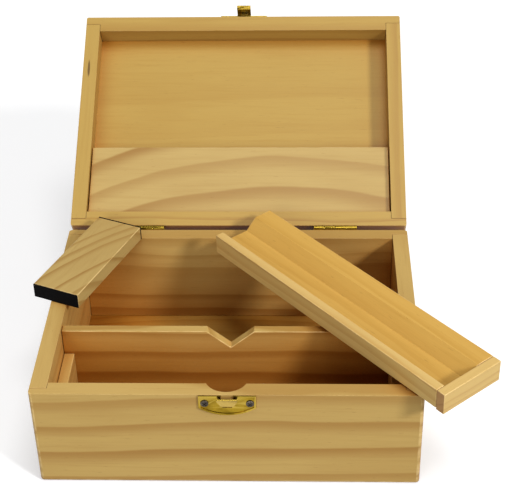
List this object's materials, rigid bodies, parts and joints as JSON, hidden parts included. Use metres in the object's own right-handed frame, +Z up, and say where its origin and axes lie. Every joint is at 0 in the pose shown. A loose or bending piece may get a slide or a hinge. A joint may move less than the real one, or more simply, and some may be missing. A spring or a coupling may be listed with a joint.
{
  "type": "art supply box",
  "caption": "Hinged pine box with a lid pocket, brass latch, divided inside, lift-out tray with a shelf and a felt-ended block.",
  "frame": {"origin": "middle of the underside of the base, which stands on the surface the box is put on", "axes": "+X to the right as seen from the latch side, +Y from the latch side towards the hinges, +Z up"},
  "size_m": [0.3098, 0.3767, 0.1803],
  "materials": {
    "wall_pine": "thin satin varnish",
    "panel_pine": "thin satin varnish, more golden",
    "brass": "bright brass plating",
    "dark_screw": "dull dark steel",
    "spring_steel": "drawn spring wire",
    "black_felt": "short-nap felt"
  },
  "bodies": {
    "base": {"front_wall": "wall_pine", "back_wall": "wall_pine", "left_wall": "wall_pine", "right_wall": "wall_pine", "bottom_panel": "panel_pine", "divider": "wall_pine", "left_tray_cleat": "wall_pine", "right_tray_cleat": "wall_pine", "catch_plate": "brass", "left_catch_screw": "dark_screw", "right_catch_screw": "dark_screw", "left_hinge_base_leaf": "brass", "left_hinge_pin": "brass", "left_hinge_base_screw_1": "brass", "left_hinge_base_screw_2": "brass", "right_hinge_base_leaf": "brass", "right_hinge_pin": "brass", "right_hinge_base_screw_1": "brass", "right_hinge_base_screw_2": "brass"},
    "lid": {"lid_front_rail": "wall_pine", "lid_back_rail": "wall_pine", "lid_left_rail": "wall_pine", "lid_right_rail": "wall_pine", "lid_panel": "panel_pine", "pocket_board": "wall_pine", "left_pocket_batten": "wall_pine", "right_pocket_batten": "wall_pine", "left_hinge_lid_leaf": "brass", "left_hinge_lid_screw_1": "brass", "left_hinge_lid_screw_2": "brass", "right_hinge_lid_leaf": "brass", "right_hinge_lid_screw_1": "brass", "right_hinge_lid_screw_2": "brass", "latch_plate": "brass", "left_latch_screw": "dark_screw", "right_latch_screw": "dark_screw", "latch_pin": "brass", "latch_spring": "spring_steel"},
    "latch_lever_body": {"latch_lever": "brass"},
    "tray": {"tray_end_rail": "wall_pine", "tray_left_rail": "wall_pine", "tray_bed": "panel_pine"},
    "spacer": {"spacer_block": "wall_pine", "near_felt_pad": "black_felt", "far_felt_pad": "black_felt"}
  },
  "joints": [
    {"name": "lid_hinge", "type": "hinge", "parent": "base", "child": "lid", "pos_m": [0, 0.0943, 0.0765], "axis": [1, 0, 0], "range_deg": [0, 149]},
    {"name": "latch_lever_pivot", "type": "hinge", "parent": "lid", "child": "latch_lever_body", "pos_m": [0.001, 0.26103, 0.16735], "axis": [-1, 0, 0], "range_deg": [0, 25], "stiffness_Nm_per_rad": 0.02, "springref_deg": -17.19},
    {"name": "tray_slide", "type": "slide", "parent": "base", "child": "tray", "axis": [0, -1, 0], "range_m": [0, 0.225]},
    {"name": "block_slide", "type": "slide", "parent": "base", "child": "spacer", "axis": [0, -1, 0], "range_m": [0, 0.225]}
  ],
  "couplings": [
    {"joint": "tray_slide", "follows": "lid_hinge", "m_per_rad": 0.086},
    {"joint": "block_slide", "follows": "lid_hinge", "m_per_rad": 0.086}
  ]
}
